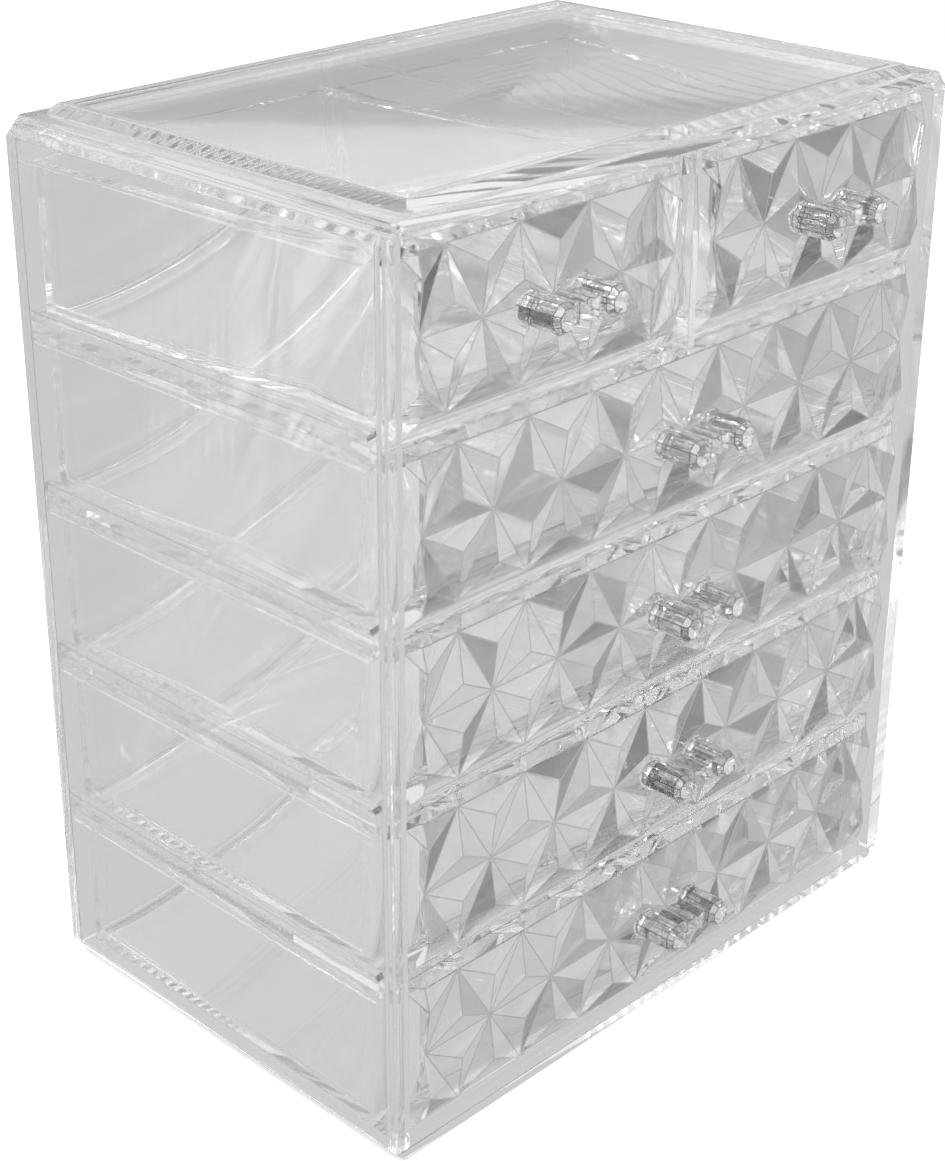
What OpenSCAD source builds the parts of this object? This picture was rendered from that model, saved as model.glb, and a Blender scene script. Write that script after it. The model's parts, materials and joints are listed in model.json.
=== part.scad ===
// Clear table-top organiser: a chamfered cabinet with two small drawers over four wide ones.
// Lengths are in millimetres. The origin is the centre of the base; the drawers face -Y.

/* [Cabinet] */
// Width of the cabinet over both side walls
case_w = 240; // [210:1:270]
// Depth of the cabinet, front edge to rear face
case_d = 155; // [130:1:190]
// Thickness of each side wall
wall_t = 3.2; // [2.6:0.1:4]
// Thickness of the rear wall
back_t = 3; // [2.4:0.1:4]
// Thickness of the base plate
base_t = 3.6; // [3:0.1:4.4]
// Thickness of the top panel
top_t = 3.2; // [2.6:0.1:4]
// Leg of the long bevel along each upper side edge
top_bevel = 5.1; // [3.5:0.1:5.6]
// Leg of the long bevel along each lower side edge
foot_bevel = 4.4; // [3.5:0.1:5.6]
// Width of the thickened front edge of each side wall
post_w = 6.2; // [5.6:0.1:7.5]
// Depth of the thickened front edge
post_d = 4.6; // [3:0.1:4.8]
// Radius of the small fillets in the top corners of the front opening
corner_fillet = 4; // [3:0.1:4.2]

/* [Tiers] */
// Height from one drawer floor to the next
tier_h = 54.4; // [50:0.2:60]
// Extra height between the top tier and the top panel
head_room = 3.2; // [2.8:0.1:5]
// Thickness of each shelf
shelf_t = 2.8; // [2.2:0.1:3.2]

/* [Guide rails] */
// How far each rail stands in from the side wall
rail_w = 3; // [2.4:0.1:3.2]
// Height of a shelf's rail above the shelf
rail_above = 3.8; // [2:0.1:5]
// Height of a shelf's rail below the shelf
rail_below = 3.4; // [2:0.1:5]
// Height of the rails under the top panel
top_rail_h = 9.3; // [6:0.1:11]
// Radius of the rounded front end of a rail
rail_round = 2.4; // [1:0.1:2.6]

/* [Centre divider] */
// Thickness of the plate between the two small drawers
divider_t = 3; // [2.4:0.1:3.6]
// How far the divider's upper rails stand out from the plate
divider_rail_w = 0.9; // [0.4:0.1:1.1]

/* [Stacking rim] */
// Height of the rim that locates a second cabinet
rim_h = 2.8; // [2:0.1:4]
// Distance from the cabinet's side to the rim's foot
rim_side_in = 11; // [8:0.1:15]
// Distance from the cabinet's front or rear to the rim's foot
rim_front_in = 2.8; // [1.5:0.1:6]
// Width of the rim's outer slope
rim_slope = 3.5; // [2:0.1:5]
// Width of the rim's flat crest
rim_flat = 3; // [2:0.1:5]
// Leg of the rim's cut corners
rim_corner = 3; // [1:0.1:5]

/* [Drawer fronts] */
// Gap between a front and the post or the divider's plate next to it
front_gap = 0.4; // [0.3:0.05:0.8]
// Extra gap beside the centre divider
divider_gap = 1; // [0.6:0.1:1.6]
// Height of a front's lower edge above its shelf
front_lift = 1.2; // [0.8:0.1:2]
// Gap between one front and the next above it
front_space = 1.7; // [1.2:0.1:2.5]
// Distance from the cabinet's front edge back to a front's outer edge
front_setback = 4.8; // [4:0.1:6]
// Thickness of a front at its outer edge
front_t = 2.4; // [2:0.1:3.2]
// Gap between a front and the shelf edge that stops it
stop_gap = 0.3; // [0.2:0.05:0.6]

/* [Diamond facets] */
// Distance between neighbouring facet corners along a row
facet_w = 26.8; // [22:0.2:32]
// How far the facet corners stand ahead of the outer edge
facet_out = 4.5; // [3:0.1:5.5]
// How far each triangle's middle rises above its corners
facet_rise = 2.1; // [1:0.1:3]
// Height of the sloping band above the facets
band_top = 1.6; // [1:0.1:4]
// Height of the sloping band below the facets
band_foot = 5.7; // [3:0.1:8]
// Width of the sloping side bands of a wide front
band_side = 6.2; // [4:0.1:9]
// Width of the sloping side bands of a small front
band_side_small = 5.4; // [4:0.1:9]

/* [Drawer trays] */
// Thickness of a tray's walls
tray_t = 2.4; // [1.8:0.1:3]
// Thickness of a tray's floor
tray_floor = 2.4; // [1.8:0.1:3]
// Distance from a front's side edge in to its tray
tray_in = 0.4; // [0.2:0.05:0.8]
// Height of a front above its tray's walls
tray_drop = 5.4; // [4:0.1:10]
// Running gap between a tray and its shelf
run_gap = 0.3; // [0.2:0.05:0.5]
// Gap between a tray and the rear wall
tray_rear_gap = 1.5; // [0.8:0.1:4]
// Inside radius along the floor's sides
floor_r = 3.6; // [2:0.1:5]
// Inside radius along the floor's rear
floor_rear_r = 5; // [3:0.1:8]
// Inside radius along the floor's front
floor_front_r = 13; // [6:0.5:16]
// Inside radius of the upright corners at the front
corner_r = 12; // [6:0.5:16]
// Outside radius of the upright corners at the rear
rear_corner_r = 2; // [1:0.1:2.4]

/* [Pulls] */
// Distance between a pull's two barrels
pull_pitch = 20.6; // [17:0.2:26]
// Distance of a pull's middle below the middle row of facet corners
pull_drop = 1.2; // [0:0.1:4]
// How far a pull's ends stand ahead of the cabinet's front edge
pull_out = 14.5; // [11:0.1:20]
// Width of a barrel over its flats
barrel_w = 8.6; // [7:0.1:10]
// Width of a barrel's end face over its flats
barrel_end_w = 6.2; // [5:0.1:6.9]
// Length of the bevel at a barrel's front end
barrel_bevel = 1.8; // [1:0.1:2.5]
// Length of the bevel at a barrel's rear end
barrel_rear_bevel = 1.2; // [0.6:0.1:1.6]
// Height of the pleated bar between the barrels
waist_h = 6.4; // [5:0.1:6.8]
// Number of pleats across the bar
pleats = 5; // [3:1:7]
// Depth of a pleat
pleat_d = 0.7; // [0.3:0.1:1]
// How far the bar's front stays behind the barrels' ends
waist_back = 2.2; // [1:0.1:4]
// Gap between the bar and the highest facets
waist_gap = 0.6; // [0.3:0.1:1.2]
// Gap round a barrel in its pocket
pocket_gap = 0.35; // [0.2:0.05:0.8]
// Depth of a pocket's floor behind the facet corners
pocket_d = 0.2; // [0.1:0.1:0.8]
// Diameter of a barrel's peg
peg_d = 3.9; // [3:0.1:5]
// Gap round a peg in its bore
peg_gap = 0.1; // [0.05:0.01:0.2]
// Distance from a peg's end to the inner face of the front
peg_short = 0.4; // [0.2:0.1:1]

/* [Hidden] */

$fn = 48;
clear = [0.86, 0.88, 0.89, 0.45];
clear_drawer = [0.78, 0.80, 0.82, 0.5];
clear_pull = [0.94, 0.95, 0.96, 0.8];

// The four wide tiers lie below the one that holds the two small drawers.
wide_tiers = 4;
eps = 0.01;

// Cabinet planes
half_w = case_w / 2;
front_y = -case_d / 2;
rear_y = case_d / 2;
in_x = half_w - wall_t;
in_rear_y = rear_y - back_t;
post_x = half_w - post_w;
top_z0 = base_t + (wide_tiers + 1) * tier_h + head_room;
case_h = top_z0 + top_t;
rail_x = in_x - rail_w;

// Drawer front planes, measured back from the cabinet's front edge
edge_y = front_y + front_setback;
block_y = edge_y + front_t;
stop_y = block_y + stop_gap;
node_y = edge_y - facet_out;
peak_y = node_y - facet_rise;

// Drawer heights above their own floor
front_h = tier_h - front_space;
row_h = (front_h - band_top - band_foot) / 2;
mid_z = front_lift + band_foot + row_h;
pull_z = mid_z - pull_drop;
tray_top = front_lift + front_h - tray_drop;

// Drawer widths
wide_half = post_x - front_gap;
small_in = divider_t / 2 + front_gap + divider_gap;
small_half = (wide_half - small_in) / 2;
small_x = (wide_half + small_in) / 2;
tray_rear_y = in_rear_y - tray_rear_gap;

// Pull planes
pocket_y = node_y + pocket_d;
pull_y = front_y - pull_out;
barrel_r = barrel_w / 2 / cos(22.5);

// Height of the floor of a tier, counted from the lowest
function floor_z(tier) = base_t + tier * tier_h;

// Tier of each numbered wide drawer or shelf, counted from the top
function tier_of(n) = wide_tiers - n;

// One rounded corner is left on a square: the corner at p, inwards along d
module square_corner_cut(p, d, r) {
    translate(p)
        difference() {
            translate([min(0, d[0] * r) - (d[0] > 0 ? 1 : 0), min(0, d[1] * r) - (d[1] > 0 ? 1 : 0)])
                square([r + 1, r + 1]);
            translate([d[0] * r, d[1] * r])
                circle(r);
        }
}

// Rectangle from a to b; radii are for the corners low-low, high-low, high-high and low-high
module round_rect(a, b, radii) {
    difference() {
        translate(a)
            square(b - a);
        if (radii[0] > 0)
            square_corner_cut(a, [1, 1], radii[0]);
        if (radii[1] > 0)
            square_corner_cut([b[0], a[1]], [-1, 1], radii[1]);
        if (radii[2] > 0)
            square_corner_cut(b, [-1, -1], radii[2]);
        if (radii[3] > 0)
            square_corner_cut([a[0], b[1]], [1, -1], radii[3]);
    }
}

// Extrudes a drawing of X and Z along Y, from y0 to y1
module along_y(y0, y1) {
    translate([0, y1, 0])
        rotate([90, 0, 0])
            linear_extrude(y1 - y0)
                children();
}

// Extrudes a drawing of Y and Z along X, from x0 to x1
module along_x(x0, x1) {
    translate([x0, 0, 0])
        rotate([90, 0, 90])
            linear_extrude(x1 - x0)
                children();
}

// Box between two corners
module box(a, b) {
    translate(a)
        cube(b - a);
}

// Everything inside the cabinet's bevelled outline
module in_case() {
    intersection() {
        along_y(front_y, rear_y)
            polygon([
                [-half_w + foot_bevel, 0], [half_w - foot_bevel, 0],
                [half_w, foot_bevel], [half_w, case_h - top_bevel],
                [half_w - top_bevel, case_h], [-half_w + top_bevel, case_h],
                [-half_w, case_h - top_bevel], [-half_w, foot_bevel]
            ]);
        children();
    }
}

// Pair of guide rails between two heights, rounded at the front
module rail_pair(z0, z1, r_low, r_high) {
    for (x0 = [-in_x, rail_x])
        along_x(x0, x0 + rail_w)
            round_rect([stop_y, z0], [in_rear_y, z1], [r_low, 0, 0, r_high]);
}

// Side wall with its thickened front edge; side is -1 or 1
module side_wall(side) {
    color(clear)
        in_case()
            union() {
                box([min(side * in_x, side * half_w), front_y, base_t],
                    [max(side * in_x, side * half_w), rear_y, top_z0]);
                box([min(side * post_x, side * half_w), front_y, base_t],
                    [max(side * post_x, side * half_w), front_y + post_d, top_z0]);
            }
}

module case_left_wall() {
    side_wall(-1);
}

module case_right_wall() {
    side_wall(1);
}

module case_back_wall() {
    color(clear)
        box([-in_x, in_rear_y, base_t], [in_x, rear_y, top_z0]);
}

module case_base() {
    color(clear)
        in_case()
            box([-half_w, front_y, 0], [half_w, rear_y, base_t]);
}

// Rim that a second cabinet stands in, with a sloping outside and an upright inside
module stacking_rim() {
    foot_x = half_w - rim_side_in;
    foot_y = rear_y - rim_front_in;
    crest_x = foot_x - rim_slope;
    crest_y = foot_y - rim_slope;
    z0 = case_h - eps;
    z1 = case_h + rim_h;
    difference() {
        intersection() {
            along_y(-foot_y, foot_y)
                polygon([[-foot_x, z0], [foot_x, z0], [crest_x, z1], [-crest_x, z1]]);
            along_x(-foot_x, foot_x)
                polygon([[-foot_y, z0], [foot_y, z0], [crest_y, z1], [-crest_y, z1]]);
            translate([0, 0, z0])
                linear_extrude(z1 - z0)
                    polygon([
                        [-foot_x + rim_corner, -foot_y], [foot_x - rim_corner, -foot_y],
                        [foot_x, -foot_y + rim_corner], [foot_x, foot_y - rim_corner],
                        [foot_x - rim_corner, foot_y], [-foot_x + rim_corner, foot_y],
                        [-foot_x, foot_y - rim_corner], [-foot_x, -foot_y + rim_corner]
                    ]);
        }
        box([-crest_x + rim_flat, -crest_y + rim_flat, z0 - 1],
            [crest_x - rim_flat, crest_y - rim_flat, z1 + 1]);
    }
}

// Small fillets that round the top corners of the front opening
module corner_fillets() {
    for (side = [-1, 1])
        along_y(front_y, front_y + post_d)
            difference() {
                translate([side * (post_x - corner_fillet / 2), top_z0 - corner_fillet / 2])
                    square(corner_fillet, center = true);
                translate([side * (post_x - corner_fillet), top_z0 - corner_fillet])
                    circle(corner_fillet);
            }
}

module case_top() {
    color(clear)
        union() {
            in_case()
                box([-half_w, front_y, top_z0], [half_w, rear_y, case_h]);
            stacking_rim();
            corner_fillets();
            rail_pair(top_z0 - top_rail_h, top_z0, rail_round, 0);
        }
}

// Shelf with the guide rails along both its sides
module shelf(n) {
    z = floor_z(tier_of(n) + 1);
    color(clear)
        union() {
            box([-in_x, stop_y, z - shelf_t], [in_x, in_rear_y, z]);
            rail_pair(z - shelf_t - rail_below, z + rail_above, rail_round, rail_round);
        }
}

module shelf_1() {
    shelf(1);
}

module shelf_2() {
    shelf(2);
}

module shelf_3() {
    shelf(3);
}

module shelf_4() {
    shelf(4);
}

// Plate between the small drawers, thicker along its upper edge
module centre_divider() {
    z0 = floor_z(wide_tiers);
    color(clear)
        union() {
            box([-divider_t / 2, stop_y, z0], [divider_t / 2, in_rear_y, top_z0]);
            box([-divider_t / 2, front_y, z0], [divider_t / 2, stop_y + eps, top_z0]);
            along_x(-divider_t / 2 - divider_rail_w, divider_t / 2 + divider_rail_w)
                round_rect([stop_y, top_z0 - top_rail_h], [in_rear_y, top_z0], [rail_round, 0, 0, 0]);
        }
}

// Half the number of facet columns that fit a front, at least one
function half_columns(half, band) = max(1, round((half - band) / facet_w));

// Faceted front of a drawer, centred on X and standing on its tier's floor.
// Three rows of corners bound two rows of triangles, and every triangle rises to its middle.
module faceted_front(half, band) {
    n = half_columns(half, band);
    end_x = min(n * facet_w, half - band);
    z_top = mid_z + row_h;
    z_low = mid_z - row_h;
    z0 = front_lift;
    z1 = front_lift + front_h;

    outer_x = [for (j = [0:2 * n + 1]) max(-end_x, min(end_x, (j - 0.5 - n) * facet_w))];
    inner_x = [for (i = [0:2 * n]) max(-end_x, min(end_x, (i - n) * facet_w))];
    // Middles of the triangles on the outer rows; the cut ones at the ends rise on their cut edge
    mid_outer_x = [
        for (j = [0:2 * n])
            j == 0 ? -end_x : j == 2 * n ? end_x : (outer_x[j] + outer_x[j + 1] + inner_x[j]) / 3
    ];
    // Middles of the triangles that stand on the inner row
    mid_inner_x = [for (i = [0:2 * n - 1]) (inner_x[i] + inner_x[i + 1] + outer_x[i + 1]) / 3];

    points = concat(
        [for (x = outer_x) [x, node_y, z_top]],
        [for (x = inner_x) [x, node_y, mid_z]],
        [for (x = outer_x) [x, node_y, z_low]],
        [for (x = mid_outer_x) [x, peak_y, z_top - row_h / 3]],
        [for (x = mid_inner_x) [x, peak_y, mid_z + row_h / 3]],
        [for (x = mid_outer_x) [x, peak_y, z_low + row_h / 3]],
        [for (x = mid_inner_x) [x, peak_y, mid_z - row_h / 3]],
        [for (y = [edge_y, block_y]) for (c = [[-1, z1], [1, z1], [1, z0], [-1, z0]]) [c[0] * half, y, c[1]]]
    );

    // First index of each group of points
    t = 0;
    m = t + 2 * n + 2;
    b = m + 2 * n + 1;
    to = b + 2 * n + 2;
    ti = to + 2 * n + 1;
    bo = ti + 2 * n;
    bi = bo + 2 * n + 1;
    e = bi + 2 * n;
    k = e + 4;
    last = 2 * n + 1;

    faces = concat(
        // Triangles hanging from the top row and standing on the low row
        [for (j = [0:2 * n]) [t + j, t + j + 1, to + j]],
        [for (j = [0:2 * n - 1]) [t + j + 1, m + j, to + j]],
        [for (j = [1:2 * n]) [m + j, t + j, to + j]],
        [for (j = [0:2 * n]) [b + j + 1, b + j, bo + j]],
        [for (j = [0:2 * n - 1]) [m + j, b + j + 1, bo + j]],
        [for (j = [1:2 * n]) [b + j, m + j, bo + j]],
        // Triangles on the middle row, above and below
        [for (i = [0:2 * n - 1]) [m + i, t + i + 1, ti + i]],
        [for (i = [0:2 * n - 1]) [t + i + 1, m + i + 1, ti + i]],
        [for (i = [0:2 * n - 1]) [m + i + 1, m + i, ti + i]],
        [for (i = [0:2 * n - 1]) [b + i + 1, m + i, bi + i]],
        [for (i = [0:2 * n - 1]) [m + i + 1, b + i + 1, bi + i]],
        [for (i = [0:2 * n - 1]) [m + i, m + i + 1, bi + i]],
        // Bands above and below
        [for (j = [0:n]) [e, t + j + 1, t + j]],
        [[e, e + 1, t + n + 1]],
        [for (j = [n + 1:2 * n]) [e + 1, t + j + 1, t + j]],
        [for (j = [0:n]) [e + 3, b + j, b + j + 1]],
        [[e + 3, b + n + 1, e + 2]],
        [for (j = [n + 1:2 * n]) [e + 2, b + j, b + j + 1]],
        // Side bands
        [[e, t, to], [e, to, m], [e, m, e + 3], [e + 3, m, bo], [e + 3, bo, b]],
        [
            [e + 1, to + 2 * n, t + last], [e + 1, m + 2 * n, to + 2 * n], [e + 1, e + 2, m + 2 * n],
            [e + 2, bo + 2 * n, m + 2 * n], [e + 2, b + last, bo + 2 * n]
        ],
        // Edges and inner face
        [[e, k, k + 1, e + 1], [e + 3, e + 2, k + 2, k + 3], [e, e + 3, k + 3, k], [e + 1, k + 1, k + 2, e + 2]],
        [[k + 1, k, k + 3, k + 2]]
    );
    polyhedron(points, faces);
}

// Tray behind a front: rounded inside along the floor and at the front corners
module tray(half) {
    x1 = half - tray_in;
    z0 = run_gap;
    difference() {
        intersection() {
            translate([0, 0, z0])
                linear_extrude(tray_top - z0)
                    round_rect([-x1, block_y], [x1, tray_rear_y], [0, 0, rear_corner_r, rear_corner_r]);
            along_y(block_y - 1, tray_rear_y + 1)
                round_rect([-x1, z0], [x1, tray_top], [rear_corner_r, rear_corner_r, 0, 0]);
        }
        intersection() {
            translate([0, 0, z0])
                linear_extrude(tray_top)
                    round_rect([-x1 + tray_t, block_y - 1], [x1 - tray_t, tray_rear_y - tray_t],
                        [0, 0, rear_corner_r, rear_corner_r]);
            along_y(block_y - 1, tray_rear_y + 1)
                round_rect([-x1 + tray_t, z0 + tray_floor], [x1 - tray_t, tray_top + 1], [floor_r, floor_r, 0, 0]);
            along_x(-x1 - 1, x1 + 1)
                round_rect([block_y - 1, z0 + tray_floor], [tray_rear_y - tray_t, tray_top + 1],
                    [0, floor_rear_r, 0, 0]);
        }
    }
}

// Material that rounds a tray's inside behind its front
module front_fillets(half) {
    x1 = half - tray_in;
    z0 = run_gap;
    intersection() {
        box([-x1, block_y, z0], [x1, block_y + max(corner_r, floor_front_r) + 1, tray_top]);
        union() {
            translate([0, 0, z0])
                linear_extrude(tray_top - z0)
                    for (side = [-1, 1])
                        difference() {
                            translate([side * (x1 - tray_t / 2 - corner_r / 2), block_y + corner_r / 2])
                                square([corner_r + tray_t, corner_r], center = true);
                            translate([side * (x1 - tray_t - corner_r), block_y + corner_r])
                                circle(corner_r);
                        }
            along_x(-x1 + tray_t / 2, x1 - tray_t / 2)
                difference() {
                    translate([block_y, z0 + tray_floor - 1])
                        square([floor_front_r, floor_front_r + 1]);
                    translate([block_y + floor_front_r, z0 + tray_floor + floor_front_r])
                        circle(floor_front_r);
                }
        }
    }
}

// Drawer with its tray and faceted front in one piece, bored for the pull's two pegs
module drawer(x, tier, half, band) {
    color(clear_drawer)
        translate([x, 0, floor_z(tier)])
            difference() {
                union() {
                    faceted_front(half, band);
                    tray(half);
                    front_fillets(half);
                }
                for (side = [-1, 1]) {
                    along_y(peak_y - 1, pocket_y)
                        translate([side * pull_pitch / 2, pull_z])
                            circle(barrel_r + pocket_gap);
                    along_y(peak_y - 1, block_y + 1)
                        translate([side * pull_pitch / 2, pull_z])
                            circle(peg_d / 2 + peg_gap);
                }
            }
}

module small_drawer_left() {
    drawer(-small_x, wide_tiers, small_half, band_side_small);
}

module small_drawer_right() {
    drawer(small_x, wide_tiers, small_half, band_side_small);
}

module large_drawer_1() {
    drawer(0, tier_of(1), wide_half, band_side);
}

module large_drawer_2() {
    drawer(0, tier_of(2), wide_half, band_side);
}

module large_drawer_3() {
    drawer(0, tier_of(3), wide_half, band_side);
}

module large_drawer_4() {
    drawer(0, tier_of(4), wide_half, band_side);
}

// Eight-sided barrel from its rear end to its front, bevelled at both
module barrel() {
    end_r = barrel_end_w / 2 / cos(22.5);
    rear_r = barrel_r - barrel_rear_bevel / 2;
    rotate([90, 0, 0])
        rotate([0, 0, 22.5])
            rotate_extrude($fn = 8)
                polygon([
                    [0, -pocket_y], [rear_r, -pocket_y], [barrel_r, -pocket_y + barrel_rear_bevel],
                    [barrel_r, -pull_y - barrel_bevel], [end_r, -pull_y], [0, -pull_y]
                ]);
}

// Pleated bar between the barrels, with a bowed front
module waist() {
    half = pull_pitch / 2;
    step = 2 * half / pleats;
    crest = waist_h / 2;
    valley = crest - pleat_d;
    y0 = pull_y + waist_back;
    y1 = peak_y - waist_gap;
    intersection() {
        along_y(y0 - half, y1)
            polygon(concat(
                [for (i = [0:pleats]) for (s = i < pleats ? [0, 0.5] : [0])
                    [-half + (i + s) * step, s > 0 ? crest : valley]],
                [for (i = [pleats:-1:0]) for (s = i > 0 ? [0, 0.5] : [0])
                    [-half + (i - s) * step, s > 0 ? -crest : -valley]]
            ));
        translate([0, 0, -waist_h])
            linear_extrude(2 * waist_h)
                difference() {
                    translate([-half, y0])
                        square([2 * half, y1 - y0]);
                    for (side = [-1, 1])
                        translate([side * half * 0.62, y0 - half * 0.12])
                            circle(half * 0.26);
                }
    }
}

// Pull: two barrels on pegs that pass through the front, joined by the pleated bar
module pull(x, tier) {
    color(clear_pull)
        translate([x, 0, floor_z(tier) + pull_z])
            union() {
                for (side = [-1, 1])
                    translate([side * pull_pitch / 2, 0, 0]) {
                        barrel();
                        along_y(pocket_y - 1, block_y - peg_short)
                            circle(peg_d / 2);
                    }
                waist();
            }
}

module small_pull_left() {
    pull(-small_x, wide_tiers);
}

module small_pull_right() {
    pull(small_x, wide_tiers);
}

module large_pull_1() {
    pull(0, tier_of(1));
}

module large_pull_2() {
    pull(0, tier_of(2));
}

module large_pull_3() {
    pull(0, tier_of(3));
}

module large_pull_4() {
    pull(0, tier_of(4));
}

case_left_wall();
case_right_wall();
case_back_wall();
case_base();
case_top();
shelf_1();
shelf_2();
shelf_3();
shelf_4();
centre_divider();
small_drawer_left();
small_drawer_right();
large_drawer_1();
large_drawer_2();
large_drawer_3();
large_drawer_4();
small_pull_left();
small_pull_right();
large_pull_1();
large_pull_2();
large_pull_3();
large_pull_4();
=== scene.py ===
"""Dresses the clear drawer organizer: polished cabinet, diamond-faceted drawers and cut pulls."""

import json
import logging
import math
import random
from dataclasses import dataclass
from enum import Enum
from typing import Iterator, Optional, Sequence, Union

import bmesh
import bpy
import numpy as np
from mathutils import Matrix, Vector


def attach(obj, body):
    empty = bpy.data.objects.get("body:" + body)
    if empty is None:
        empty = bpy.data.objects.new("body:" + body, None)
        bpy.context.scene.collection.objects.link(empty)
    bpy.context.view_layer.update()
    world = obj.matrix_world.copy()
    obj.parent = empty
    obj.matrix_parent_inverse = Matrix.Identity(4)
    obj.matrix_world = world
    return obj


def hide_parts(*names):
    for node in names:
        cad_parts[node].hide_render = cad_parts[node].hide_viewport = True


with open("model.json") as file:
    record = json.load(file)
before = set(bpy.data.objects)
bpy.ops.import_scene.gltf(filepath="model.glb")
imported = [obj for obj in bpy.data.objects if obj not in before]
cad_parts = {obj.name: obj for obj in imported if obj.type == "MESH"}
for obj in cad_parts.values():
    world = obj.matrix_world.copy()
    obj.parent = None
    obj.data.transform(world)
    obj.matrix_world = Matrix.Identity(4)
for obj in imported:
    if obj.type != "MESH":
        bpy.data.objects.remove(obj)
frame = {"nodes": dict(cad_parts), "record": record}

LOG = logging.getLogger("organizer")
PAINTED_FACET_SHADE = "face_tone"
MM = 0.001
DIAGONAL = math.sqrt(0.5)

Vec3 = tuple[float, float, float]
Colour = tuple[float, float, float, float]


class Slot(Enum):
    """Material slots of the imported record."""

    CABINET = "cabinet_clear"
    DRAWER = "drawer_clear"
    PULL = "pull_clear"


class Value:
    """A shader socket that takes part in Python expressions, each operator adding a Math node."""

    def __init__(self, graph: "Graph", socket: bpy.types.NodeSocket) -> None:
        """Keep the socket and the graph that new nodes go into."""
        self.graph = graph
        self.socket = socket

    def _math(self, operation: str, *terms: "Term") -> "Value":
        """Add one Math node.

        Args:
            operation: The Math node's operation.
            terms: One to three numbers or values, in the node's order.

        Returns:
            The node's result.
        """
        return self.graph.node("ShaderNodeMath", {"operation": operation}, dict(enumerate(terms)))

    def __add__(self, other: "Term") -> "Value":
        """self + other."""
        return self._math("ADD", self, other)

    def __radd__(self, other: "Term") -> "Value":
        """other + self."""
        return self._math("ADD", other, self)

    def __sub__(self, other: "Term") -> "Value":
        """self - other."""
        return self._math("SUBTRACT", self, other)

    def __rsub__(self, other: "Term") -> "Value":
        """other - self."""
        return self._math("SUBTRACT", other, self)

    def __mul__(self, other: "Term") -> "Value":
        """self * other."""
        return self._math("MULTIPLY", self, other)

    def __rmul__(self, other: "Term") -> "Value":
        """other * self."""
        return self._math("MULTIPLY", other, self)


Term = Union[Value, float, int]
Stops = Sequence[tuple[float, Colour]]
Setting = Union[str, float, int, bool, Stops]


class Graph:
    """Builds the nodes of one material or world."""

    def __init__(self, owner: Union[bpy.types.Material, bpy.types.World]) -> None:
        """Empty the owner's node tree and keep it."""
        owner.use_nodes = True
        self.tree = owner.node_tree
        self.tree.nodes.clear()

    def node(
        self,
        kind: str,
        settings: Optional[dict[str, Setting]] = None,
        inputs: Optional[dict[Union[str, int], object]] = None,
        output: Union[str, int] = 0,
    ) -> Value:
        """Add a node, set it and link it.

        Args:
            kind: The node's type name.
            settings: The node's own properties, set first; "stops" fills a colour ramp.
            inputs: A number, colour or value for each input socket, by name or position.
            output: The output socket to return, by name or position.

        Returns:
            The chosen output as a value.
        """
        made = self.tree.nodes.new(kind)
        for name, setting in (settings or {}).items():
            if name == "stops":
                self._fill_ramp(made, setting)
            else:
                setattr(made, name, setting)
        for key, term in (inputs or {}).items():
            socket = made.inputs[key]
            if isinstance(term, Value):
                self.tree.links.new(term.socket, socket)
            else:
                socket.default_value = term
        return Value(self, made.outputs[output] if made.outputs else made.inputs[0])

    @staticmethod
    def _fill_ramp(ramp: bpy.types.Node, stops: Stops) -> None:
        """Give a colour ramp its stops.

        Args:
            ramp: The colour ramp node.
            stops: Position and colour of each stop, in order.
        """
        elements = ramp.color_ramp.elements
        while len(elements) > 1:
            elements.remove(elements[-1])
        elements[0].position, elements[0].color = stops[0]
        for position, colour in stops[1:]:
            elements.new(position).color = colour

    def output(self, kind: str, shader: Value) -> None:
        """Link a finished shader to the tree's output.

        Args:
            kind: The output node's type name.
            shader: The shader to show.
        """
        self.node(kind, None, {"Surface": shader})


def grey(level: float) -> Colour:
    """An opaque grey of one linear level."""
    return (level, level, level, 1.0)


def grey_stops(*steps: tuple[float, float]) -> Stops:
    """Ramp stops from pairs of a position and a grey level."""
    return [(position, grey(level)) for position, level in steps]


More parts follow.
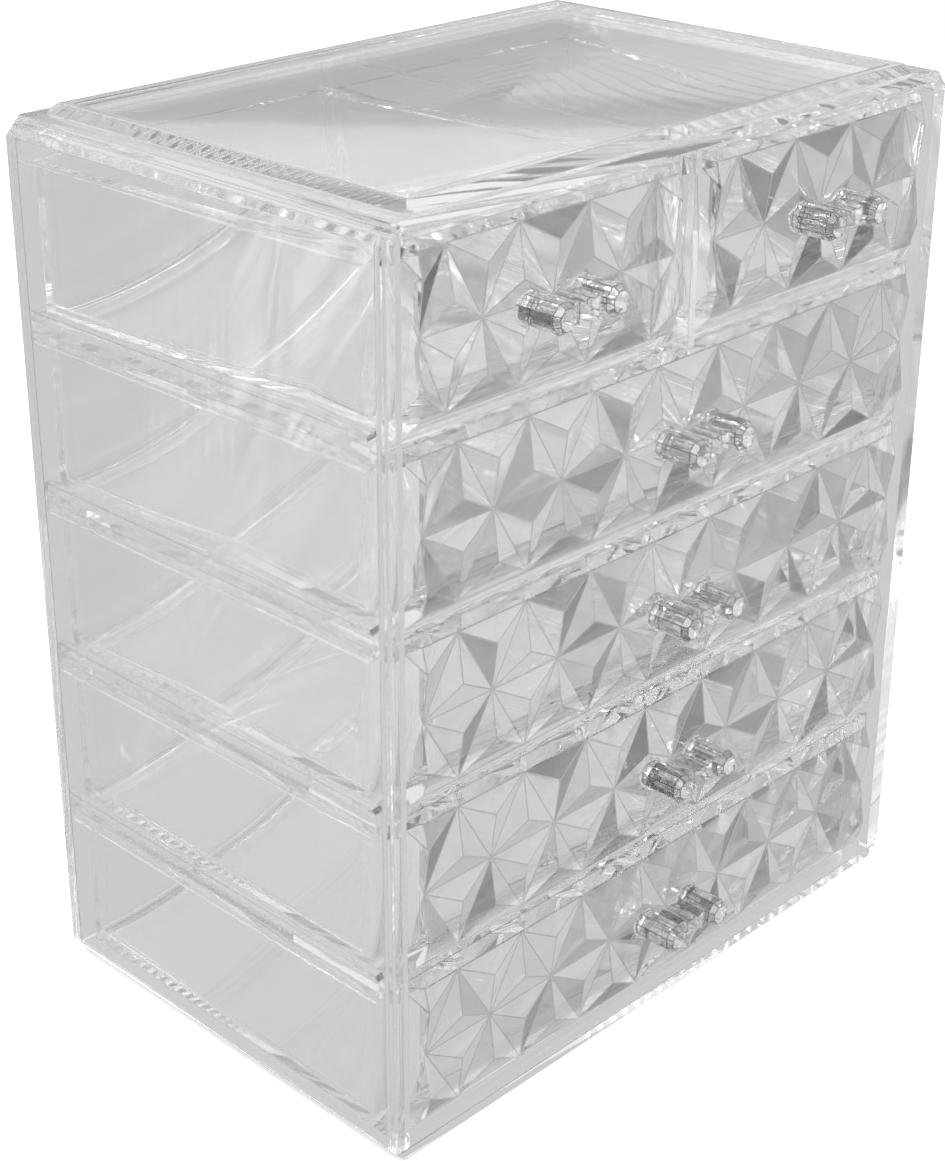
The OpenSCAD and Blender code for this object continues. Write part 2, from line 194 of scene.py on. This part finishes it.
@dataclass(frozen=True)
class ClearPlastic:
    """Clear moulded plastic: faint grey cast, long moulding ripples, fine specks and a trace of haze.

    Ahead of front_rear_y, the rear face of the drawers' fronts, it takes the front's tint and dust. It can
    also multiply its grey by a painted shade stored on each face.
    """

    name: str
    tint: float
    front_tint: float
    front_rear_y: float = -70.3 * MM
    front_fade: float = 0.6 * MM
    ior: float = 1.5
    ripple_size: float = 35.0 * MM
    ripple_height: float = 0.03 * MM
    specks_per_metre: float = 900.0
    speck_roughness: float = 0.6
    mottle: float = 0.02
    haze: float = 0.03
    front_dust: float = 0.0
    dust_grey: float = 0.8
    # Multiplies in each face's painted shade: darker down-tilted faces and random painted dark reflections.
    painted_facet_shades: bool = False

    def _tone(self, graph: Graph, ahead: Value, cloud: Value, speck: Value) -> Value:
        """Work out the grey of the plastic, times the painted facet shade where the faces carry one.

        Args:
            graph: The material's nodes.
            ahead: Zero behind the drawers' fronts, one in them.
            cloud: The large noise.
            speck: The fine noise.

        Returns:
            The grey level.
        """
        mottled = self.mottle * (cloud - 0.5) + self.mottle * (speck - 0.5)
        tone = self.tint + (self.front_tint - self.tint) * ahead + mottled
        # Painted shade and painted dark reflections: each face's stored grey multiplies the plastic's grey.
        if self.painted_facet_shades:
            tone = tone * graph.node("ShaderNodeAttribute", {"attribute_name": PAINTED_FACET_SHADE}, None, "Fac")
        return tone

    def build(self) -> bpy.types.Material:
        """Make the material.

        Returns:
            The finished material.
        """
        material = bpy.data.materials.new(self.name)
        graph = Graph(material)
        place = graph.node("ShaderNodeTexCoord", None, None, "Object")
        cloud = graph.node(
            "ShaderNodeTexNoise", None, {"Vector": place, "Scale": 1 / self.ripple_size, "Detail": 2.0}
        )
        speck = graph.node(
            "ShaderNodeTexNoise",
            None,
            {
                "Vector": place,
                "Scale": self.specks_per_metre,
                "Detail": 3.0,
                "Roughness": self.speck_roughness,
            },
        )
        depth = graph.node("ShaderNodeSeparateXYZ", None, {0: place}, 1)
        ahead = graph.node(
            "ShaderNodeMapRange",
            {"interpolation_type": "SMOOTHSTEP"},
            {"Value": depth, 1: self.front_rear_y, 2: self.front_rear_y - self.front_fade, 3: 0.0, 4: 1.0},
        )
        tone = self._tone(graph, ahead, cloud, speck)
        colour = graph.node("ShaderNodeCombineColor", None, {0: tone, 1: tone, 2: tone})
        normal = graph.node(
            "ShaderNodeBump", None, {"Height": cloud, "Strength": 1.0, "Distance": self.ripple_height}
        )
        shader = graph.node(
            "ShaderNodeBsdfPrincipled",
            None,
            {
                "Base Color": colour,
                "Roughness": self.haze * speck * cloud,
                "IOR": self.ior,
                "Transmission Weight": 1.0,
                "Normal": normal,
            },
        )
        if self.front_dust > 0:
            dust = graph.node("ShaderNodeBsdfDiffuse", None, {"Color": grey(self.dust_grey)})
            shader = graph.node("ShaderNodeMixShader", None, {0: self.front_dust * ahead, 1: shader, 2: dust})
        graph.output("ShaderNodeOutputMaterial", shader)
        return material


@dataclass
class PhotoCamera:
    """The camera at the photograph's viewing angle."""

    place: Vec3 = (-0.47546, -0.45315, 0.43486)
    look: Vec3 = (0.6444, 0.6420, -0.4153)
    roll: float = -0.0025
    lens_mm: float = 69.47
    sensor_mm: float = 36.0
    shift_x: float = 0.0234
    shift_y: float = -0.0302
    nearest: float = 0.01

    def build(self) -> bpy.types.Object:
        """Make the camera the scene's own.

        Returns:
            The camera object.
        """
        data = bpy.data.cameras.new("photo_camera")
        data.sensor_width = self.sensor_mm
        data.lens = self.lens_mm
        data.shift_x = self.shift_x
        data.shift_y = self.shift_y
        data.clip_start = self.nearest
        camera = bpy.data.objects.new("photo_camera", data)
        bpy.context.scene.collection.objects.link(camera)
        forward = Vector(self.look).normalized()
        right = forward.cross(Vector((0, 0, 1))).normalized()
        right = (right + Vector((0, 0, self.roll))).normalized()
        up = right.cross(forward)
        turn = Matrix((right, up, -forward)).transposed()
        camera.matrix_world = Matrix.Translation(self.place) @ turn.to_4x4()
        bpy.context.scene.camera = camera
        return camera


@dataclass(frozen=True)
class Wall:
    """One plain wall of the room, as the plastic shows it above the table."""

    name: str
    way: Vec3
    level: float


@dataclass(frozen=True)
class Lamp:
    """A square soft lamp."""

    name: str
    place: Vec3
    size: float
    power: float


@dataclass
class Studio:
    """Pale table, a dim gap beyond it, four plain walls and a ceiling, with two soft lamps."""

    walls: tuple[Wall, ...] = (
        Wall("behind_camera", (-DIAGONAL, -DIAGONAL, 0.0), 1.3),
        Wall("left", (-DIAGONAL, DIAGONAL, 0.0), 0.8),
        Wall("right", (DIAGONAL, -DIAGONAL, 0.0), 0.4),
        Wall("backdrop", (DIAGONAL, DIAGONAL, 0.0), 0.9),
    )
    table_level: float = 0.6
    gap_level: float = 0.3
    gap_top_deg: float = 14.0
    ceiling_level: float = 0.9
    ceiling_deg: float = 60.0
    ceiling_fade_deg: float = 5.0
    soft_deg: float = 0.5
    corner_start: float = 0.66
    corner_full: float = 0.74
    table_half: float = 1.3
    table_drop: float = 0.2 * MM
    table_grey: float = 0.85
    table_glow: float = 0.6
    lamps: tuple[Lamp, ...] = (
        Lamp("key_lamp", (-0.9, -0.6, 1.3), size=0.8, power=9.0),
        Lamp("top_lamp", (0.2, 0.3, 1.6), size=0.9, power=3.0),
    )
    lamp_aim: Vec3 = (0.0, 0.0, 0.14)
    bounces: int = 128
    transparent_bounces: int = 16

    def _stops(self, wall: Wall) -> Stops:
        """Greys from straight down to straight up on one side: table, gap, wall, ceiling.

        Args:
            wall: The wall on that side.

        Returns:
            Ramp stops over half the sine of the elevation plus a half.
        """
        greys = (
            (-self.soft_deg, self.table_level),
            (self.soft_deg, self.gap_level),
            (self.gap_top_deg - self.soft_deg, self.gap_level),
            (self.gap_top_deg + self.soft_deg, wall.level),
            (self.ceiling_deg, wall.level),
            (self.ceiling_deg + self.ceiling_fade_deg, self.ceiling_level),
        )
        return grey_stops(*((math.sin(math.radians(rise)) * 0.5 + 0.5, level) for rise, level in greys))

    def _surround(self) -> None:
        """Light the scene from all sides, white for the camera itself."""
        world = bpy.data.worlds.new("studio")
        bpy.context.scene.world = world
        graph = Graph(world)
        way = graph.node("ShaderNodeTexCoord", None, None, "Generated")
        rise = graph.node("ShaderNodeSeparateXYZ", None, {0: way}, 2) * 0.5 + 0.5
        flat = graph.node("ShaderNodeVectorMath", {"operation": "MULTIPLY"}, {0: way, 1: (1.0, 1.0, 0.0)})
        level_way = graph.node("ShaderNodeVectorMath", {"operation": "NORMALIZE"}, {0: flat})
        first, *others = self.walls
        level = graph.node("ShaderNodeValToRGB", {"stops": self._stops(first)}, {0: rise})
        for wall in others:
            seen_there = graph.node("ShaderNodeValToRGB", {"stops": self._stops(wall)}, {0: rise})
            facing = self._facing(graph, level_way, wall.way, self.corner_start, self.corner_full)
            level = self._blend(graph, facing, level, seen_there)
        around = graph.node("ShaderNodeBackground", None, {"Color": level, "Strength": 1.0})
        white = graph.node("ShaderNodeBackground", None, {"Color": grey(1.0), "Strength": 1.0})
        seen = graph.node("ShaderNodeLightPath", None, None, "Is Camera Ray")
        both = graph.node("ShaderNodeMixShader", None, {0: seen, 1: around, 2: white})
        graph.output("ShaderNodeOutputWorld", both)

    @staticmethod
    def _facing(graph: Graph, way: Value, aim: Vec3, start: float, full: float) -> Value:
        """How far a direction turns to an aim.

        Args:
            graph: The world's nodes.
            way: The direction looked in.
            aim: The direction to compare with, of length one.
            start: The cosine at which the result leaves zero.
            full: The cosine at which it reaches one.

        Returns:
            Zero to one.
        """
        turn = graph.node("ShaderNodeVectorMath", {"operation": "DOT_PRODUCT"}, {0: way, 1: aim}, "Value")
        return graph.node(
            "ShaderNodeMapRange",
            {"interpolation_type": "SMOOTHSTEP"},
            {"Value": turn, 1: start, 2: full, 3: 0.0, 4: 1.0},
        )

    @staticmethod
    def _blend(graph: Graph, share: Value, first: object, second: object) -> Value:
        """Mix two colours.

        Args:
            graph: The world's nodes.
            share: Share of the second.
            first: The colour at zero.
            second: The colour at one.

        Returns:
            The mixed colour.
        """
        settings = {"data_type": "RGBA", "clamp_result": False}
        return graph.node("ShaderNodeMix", settings, {0: share, 6: first, 7: second}, 2)

    def _table(self) -> None:
        """Lay the table top, near white where the camera sees it and faintly shaded by the object."""
        material = bpy.data.materials.new("studio_table")
        graph = Graph(material)
        seen = graph.node("ShaderNodeLightPath", None, None, "Is Camera Ray")
        pale = graph.node("ShaderNodeBsdfDiffuse", None, {"Color": grey(self.table_grey)})
        glow = graph.node("ShaderNodeEmission", None, {"Color": grey(self.table_glow), "Strength": 1.0})
        shown = graph.node("ShaderNodeAddShader", None, {0: pale, 1: glow})
        both = graph.node("ShaderNodeMixShader", None, {0: seen, 1: pale, 2: shown})
        graph.output("ShaderNodeOutputMaterial", both)
        shape = bmesh.new()
        bmesh.ops.create_grid(shape, x_segments=1, y_segments=1, size=self.table_half)
        bmesh.ops.translate(shape, vec=(0.0, 0.0, -self.table_drop), verts=shape.verts)
        mesh = bpy.data.meshes.new("studio_table")
        shape.to_mesh(mesh)
        shape.free()
        mesh.materials.append(material)
        table = bpy.data.objects.new("studio_table", mesh)
        bpy.context.scene.collection.objects.link(table)
        table.visible_glossy = False
        table.visible_transmission = False

    def _lamps(self) -> None:
        """Hang the lamps, each turned to the object's middle."""
        for lamp in self.lamps:
            data = bpy.data.lights.new(lamp.name, "AREA")
            data.size = lamp.size
            data.energy = lamp.power
            hung = bpy.data.objects.new(lamp.name, data)
            bpy.context.scene.collection.objects.link(hung)
            hung.location = lamp.place
            way = Vector(self.lamp_aim) - Vector(lamp.place)
            hung.rotation_euler = way.to_track_quat("-Z", "Y").to_euler()

    def build(self) -> None:
        """Set the stage and the light, with enough bounces for many clear walls."""
        bpy.context.scene.view_settings.view_transform = "Standard"
        cycles = bpy.context.scene.cycles
        cycles.max_bounces = self.bounces
        cycles.transmission_bounces = self.bounces
        cycles.glossy_bounces = self.bounces
        cycles.transparent_max_bounces = self.transparent_bounces
        cycles.caustics_reflective = False
        cycles.caustics_refractive = False
        self._surround()
        self._table()
        self._lamps()


@dataclass(frozen=True)
class Polish:
    """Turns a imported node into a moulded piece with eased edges.

    Edges ahead of facets_from_y, just before the rim of the drawers' fronts, take the facets' own width.
    """

    slot: Slot
    edge: float
    facet_edge: float = 0.0
    facets_from_y: float = -72.8 * MM
    weld: float = 0.002 * MM
    seam: float = 0.03 * MM
    one_plane_share: float = 0.08
    flat_deg: float = 0.4
    smooth_deg: float = 14.0
    narrow_deg: float = 20.0
    shortest: float = 0.36 * MM
    # Painted facet shade: mean level, lighter up-tilted and darker down-tilted faces, and a random darkening
    # painted as dark reflections and glints.
    painted_shade_mean: float = 0.9
    painted_shade_tilt: float = 0.1
    painted_dark_spread: float = 0.0
    painted_dark_power: float = 2.6
    least_tilt: float = 0.05

    def _shape(self, node: str) -> bmesh.types.BMesh:
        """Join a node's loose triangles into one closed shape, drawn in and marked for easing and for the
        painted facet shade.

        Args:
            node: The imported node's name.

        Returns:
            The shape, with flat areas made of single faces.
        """
        shape = bmesh.new()
        shape.from_mesh(frame["nodes"][node].data)
        bmesh.ops.remove_doubles(shape, verts=shape.verts, dist=self.weld)
        bmesh.ops.dissolve_limit(
            shape,
            angle_limit=math.radians(self.flat_deg),
            verts=shape.verts,
            edges=shape.edges,
            delimit={"NORMAL"},
        )
        self._draw_in(shape)
        self._weigh_edges(shape)
        if self.painted_dark_spread > 0:
            self._paint_facet_shade(shape, sum(node.encode()))
        return shape

    def _weigh_edges(self, shape: bmesh.types.BMesh) -> None:
        """Say how wide each corner is eased: facets by their own width, other corners by the plain one.

        Corners of very short edges and of narrow wedges stay sharp, because the easing would fold over there.

        Args:
            shape: The closed shape to mark.
        """
        weight = shape.edges.layers.float.new("bevel_weight_edge")
        widest = max(self.edge, self.facet_edge)
        narrow = math.radians(self.narrow_deg)
        wedges = [face for face in shape.faces if min(loop.calc_angle() for loop in face.loops) < narrow]
        kept_sharp = {edge for face in wedges for edge in face.edges}
        for edge in shape.edges:
            if len(edge.link_faces) != 2 or edge.calc_face_angle(0.0) < math.radians(self.smooth_deg):
                continue
            if edge in kept_sharp or edge.calc_length() < self.shortest:
                continue
            faceted = self.facet_edge > 0 and all(vert.co.y < self.facets_from_y for vert in edge.verts)
            edge[weight] = (self.facet_edge if faceted else self.edge) / widest

    def _paint_facet_shade(self, shape: bmesh.types.BMesh, seed: int) -> None:
        """Paint a shade on each tilted face of a front or pull, darker where it tilts down as if lit from
        above, and darker at random as painted dark reflections; others keep one.

        Args:
            shape: The closed shape to mark.
            seed: The start of the row of chances.
        """
        chance = random.Random(seed)
        tone = shape.faces.layers.float.new(PAINTED_FACET_SHADE)
        for face in shape.faces:
            tilt = abs(face.normal.x) + abs(face.normal.z)
            if max(vert.co.y for vert in face.verts) > self.facets_from_y or tilt < self.least_tilt:
                face[tone] = 1.0
                continue
            # Painted shade by tilt, as if lit from above, then a random painted darkening that stands for
            # dark reflections.
            lit = self.painted_shade_mean + self.painted_shade_tilt * face.normal.z / tilt
            face[tone] = lit * (1 - self.painted_dark_spread * chance.random() ** self.painted_dark_power)

    def _draw_in(self, shape: bmesh.types.BMesh) -> None:
        """Move every face inwards by the seam, so that pieces laid face to face keep a hair of air.

        Args:
            shape: The closed shape to change.
        """
        shape.normal_update()
        moves = []
        for vert in shape.verts:
            normals = np.array([face.normal for face in vert.link_faces])
            move, *_ = np.linalg.lstsq(normals, np.full(len(normals), -self.seam), rcond=self.one_plane_share)
            moves.append(Vector(move))
        for vert, move in zip(shape.verts, moves):
            vert.co += move

    def dress(
        self, node: str, body: str, material: bpy.types.Material, painted_edge_material: bpy.types.Material
    ) -> bpy.types.Object:
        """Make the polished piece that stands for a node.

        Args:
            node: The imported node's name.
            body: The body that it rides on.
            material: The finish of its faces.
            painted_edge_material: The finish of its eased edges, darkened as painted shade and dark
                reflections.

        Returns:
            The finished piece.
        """
        name = node + "_polished"
        shape = self._shape(node)
        mesh = bpy.data.meshes.new(name)
        shape.to_mesh(mesh)
        shape.free()
        mesh.materials.append(material)
        mesh.materials.append(painted_edge_material)
        piece = bpy.data.objects.new(name, mesh)
        bpy.context.scene.collection.objects.link(piece)
        bevel = piece.modifiers.new("eased_edges", "BEVEL")
        bevel.width = max(self.edge, self.facet_edge)
        bevel.segments = 2
        bevel.limit_method = "WEIGHT"
        bevel.use_clamp_overlap = False
        bevel.harden_normals = True
        # The eased edges take the darker finish: painted dark lines for the shade and dark reflections at
        # rounded edges.
        bevel.material = 1
        mesh.shade_smooth()
        mesh.set_sharp_from_angle(angle=math.radians(self.smooth_deg))
        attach(piece, body)
        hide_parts(node)
        LOG.info("%s stands for %s", name, node)
        return piece


@dataclass
class Cabinet:
    """Walls, base, top, shelves and divider of the case."""

    body: str = "case"
    edge: float = 0.3 * MM
    finish: ClearPlastic = ClearPlastic("cabinet_acrylic", tint=0.997, front_tint=0.997)
    # Slightly darker edge finish: painted grey lines along the case's rounded edges.
    painted_edge_finish: ClearPlastic = ClearPlastic("cabinet_edges_painted_shade", tint=0.95, front_tint=0.95, haze=0.3)

    def build(self) -> list[bpy.types.Object]:
        """Make every piece of the case.

        Returns:
            The finished pieces.
        """
        material = self.finish.build()
        painted_edge_material = self.painted_edge_finish.build()
        polish = Polish(Slot.CABINET, self.edge)
        nodes = frame["record"]["behaviour"]["bodies"][self.body]
        return [polish.dress(node, self.body, material, painted_edge_material) for node in nodes]


def sliding_nodes() -> Iterator[tuple[str, str]]:
    """Name the nodes that slide.

    Yields:
        The body and the node of each drawer and each pull.
    """
    for body, nodes in frame["record"]["behaviour"]["bodies"].items():
        if body != Cabinet.body:
            yield from ((body, node) for node in nodes)


@dataclass
class Drawers:
    """The six drawers, each a tray and faceted front in one moulding."""

    edge: float = 0.2 * MM
    facet_edge: float = 0.25 * MM
    # Share of the painted dark reflections on the small and the large drawer fronts.
    small_painted_dark: float = 0.96
    large_painted_dark: float = 0.85
    # The drawer plastic multiplies in the painted facet shade.
    finish: ClearPlastic = ClearPlastic(
        "drawer_acrylic_painted_shade", tint=0.99, front_tint=0.99, front_dust=0.02, painted_facet_shades=True
    )
    # Darker edge finish, much darker on the fronts: painted dark lines at the facet edges.
    painted_edge_finish: ClearPlastic = ClearPlastic("drawer_edges_painted_shade", tint=0.9, front_tint=0.45, haze=0.3)

    def build(self) -> list[bpy.types.Object]:
        """Make every drawer.

        Returns:
            The finished pieces.
        """
        material = self.finish.build()
        painted_edge_material = self.painted_edge_finish.build()
        pieces = []
        for body, node in sliding_nodes():
            if "pull" in node:
                continue
            # Painted dark reflections, stronger on the small drawers.
            spread = self.small_painted_dark if "small" in node else self.large_painted_dark
            polish = Polish(Slot.DRAWER, self.edge, self.facet_edge, painted_dark_spread=spread)
            pieces.append(polish.dress(node, body, material, painted_edge_material))
        return pieces


@dataclass
class Pulls:
    """The six cut pulls, one a drawer."""

    edge: float = 0.16 * MM
    # Share and rarity of the painted dark glints on the pulls' faces.
    spread: float = 0.95
    power: float = 8.0
    # The pull plastic multiplies in the painted dark glints.
    finish: ClearPlastic = ClearPlastic(
        "pull_acrylic_painted_glints", tint=1.0, front_tint=1.0, ior=1.6, ripple_height=0.0, painted_facet_shades=True
    )
    # Near-black edge finish: painted dark glints along the pulls' edges.
    painted_edge_finish: ClearPlastic = ClearPlastic(
        "pull_edges_painted_glints", tint=0.1, front_tint=0.1, ripple_height=0.0, haze=0.2
    )

    def build(self) -> list[bpy.types.Object]:
        """Make every pull.

        Returns:
            The finished pieces.
        """
        material = self.finish.build()
        painted_edge_material = self.painted_edge_finish.build()
        polish = Polish(Slot.PULL, self.edge, painted_dark_spread=self.spread, painted_dark_power=self.power)
        pulls = [(body, node) for body, node in sliding_nodes() if "pull" in node]
        return [polish.dress(node, body, material, painted_edge_material) for body, node in pulls]


def main() -> None:
    """Build the camera, the studio and every sub-assembly."""
    logging.basicConfig(level=logging.INFO, format="%(message)s")
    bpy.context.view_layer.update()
    PhotoCamera().build()
    Studio().build()
    Cabinet().build()
    Drawers().build()
    Pulls().build()


if __name__ == "__main__":
    main()
